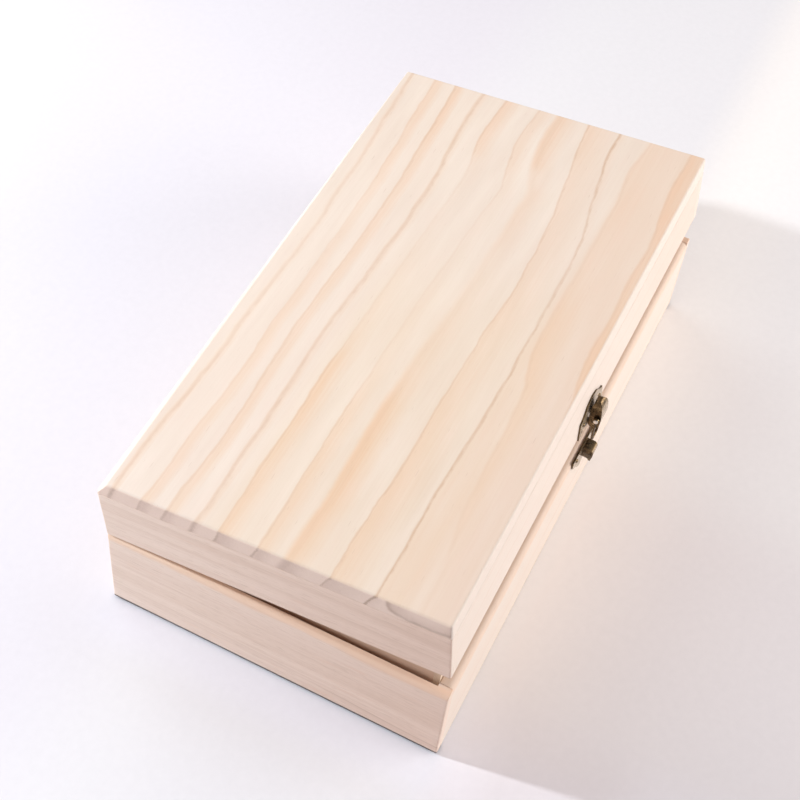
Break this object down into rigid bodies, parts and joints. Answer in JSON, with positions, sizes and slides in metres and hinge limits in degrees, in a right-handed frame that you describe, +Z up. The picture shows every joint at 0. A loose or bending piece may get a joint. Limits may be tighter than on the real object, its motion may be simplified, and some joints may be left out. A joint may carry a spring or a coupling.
{
  "type": "hinged wooden storage box",
  "caption": "Pine box for small oil bottles, with a hinged lid ajar, a divided lift-out insert whose edge stands above the rim, butt hinges and a bronze draw latch",
  "frame": {"origin": "middle of the flat underside of the base", "axes": "+X along the length of the box, -Y towards the latch side, +Z up"},
  "size_m": [0.294, 0.1697, 0.1031],
  "materials": {
    "lid_panel_wood": "sanded bare pine",
    "side_wood": "sanded bare pine",
    "end_wood": "sanded bare pine",
    "insert_wood": "sanded bare pine",
    "floor_ply": "plain plywood",
    "bronze": "antique bronze plate, worn bright on the edges",
    "fasteners": "bronzed steel"
  },
  "bodies": {
    "base": {"base_end_left": "end_wood", "base_end_right": "end_wood", "base_front_wall": "side_wood", "base_back_wall": "side_wood", "base_bottom": "floor_ply", "insert_front": "insert_wood", "insert_back": "insert_wood", "insert_left": "insert_wood", "insert_right": "insert_wood", "divider_long_1": "insert_wood", "divider_long_2": "insert_wood", "divider_long_3": "insert_wood", "divider_cross_1": "insert_wood", "divider_cross_2": "insert_wood", "divider_cross_3": "insert_wood", "divider_cross_4": "insert_wood", "divider_cross_5": "insert_wood", "divider_cross_6": "insert_wood", "hinge_left_base_leaf": "bronze", "hinge_left_pin": "fasteners", "hinge_left_base_screw_1": "fasteners", "hinge_left_base_screw_2": "fasteners", "hinge_right_base_leaf": "bronze", "hinge_right_pin": "fasteners", "hinge_right_base_screw_1": "fasteners", "hinge_right_base_screw_2": "fasteners", "latch_strike": "bronze", "latch_base_nail_left": "fasteners", "latch_base_nail_right": "fasteners"},
    "lid": {"lid_end_left": "end_wood", "lid_end_right": "end_wood", "lid_front_wall": "side_wood", "lid_back_wall": "side_wood", "lid_top_panel": "lid_panel_wood", "hinge_left_lid_leaf": "bronze", "hinge_left_lid_screw_1": "fasteners", "hinge_left_lid_screw_2": "fasteners", "hinge_right_lid_leaf": "bronze", "hinge_right_lid_screw_1": "fasteners", "hinge_right_lid_screw_2": "fasteners", "latch_lid_plate": "bronze", "latch_lid_nail_left": "fasteners", "latch_lid_nail_right": "fasteners"},
    "lever": {"latch_lever": "bronze", "lever_pin": "fasteners"},
    "bail_pin": {"bail_pin": "fasteners"},
    "bail": {"latch_bail": "bronze"}
  },
  "joints": [
    {"name": "lid_hinge", "type": "hinge", "parent": "base", "child": "lid", "pos_m": [0, 0.0819, 0.05], "axis": [-1, 0, 0], "range_deg": [-5.5, 100]},
    {"name": "lever_pivot", "type": "hinge", "parent": "lid", "child": "lever", "pos_m": [0, -0.08245, 0.06884], "axis": [1, 0, 0], "range_deg": [0, 100]},
    {"name": "bail_pin_turn", "type": "hinge", "parent": "lever", "child": "bail_pin", "pos_m": [0, -0.08347, 0.07286], "axis": [1, 0, 0], "range_deg": [-100, 0]},
    {"name": "bail_swing", "type": "hinge", "parent": "bail_pin", "child": "bail", "pos_m": [0, -0.08347, 0.07286], "axis": [-1, 0, 0], "range_deg": [-5.7, 100]}
  ],
  "couplings": [
    {"joint": "bail_pin_turn", "follows": "lever_pivot", "ratio": -1}
  ]
}
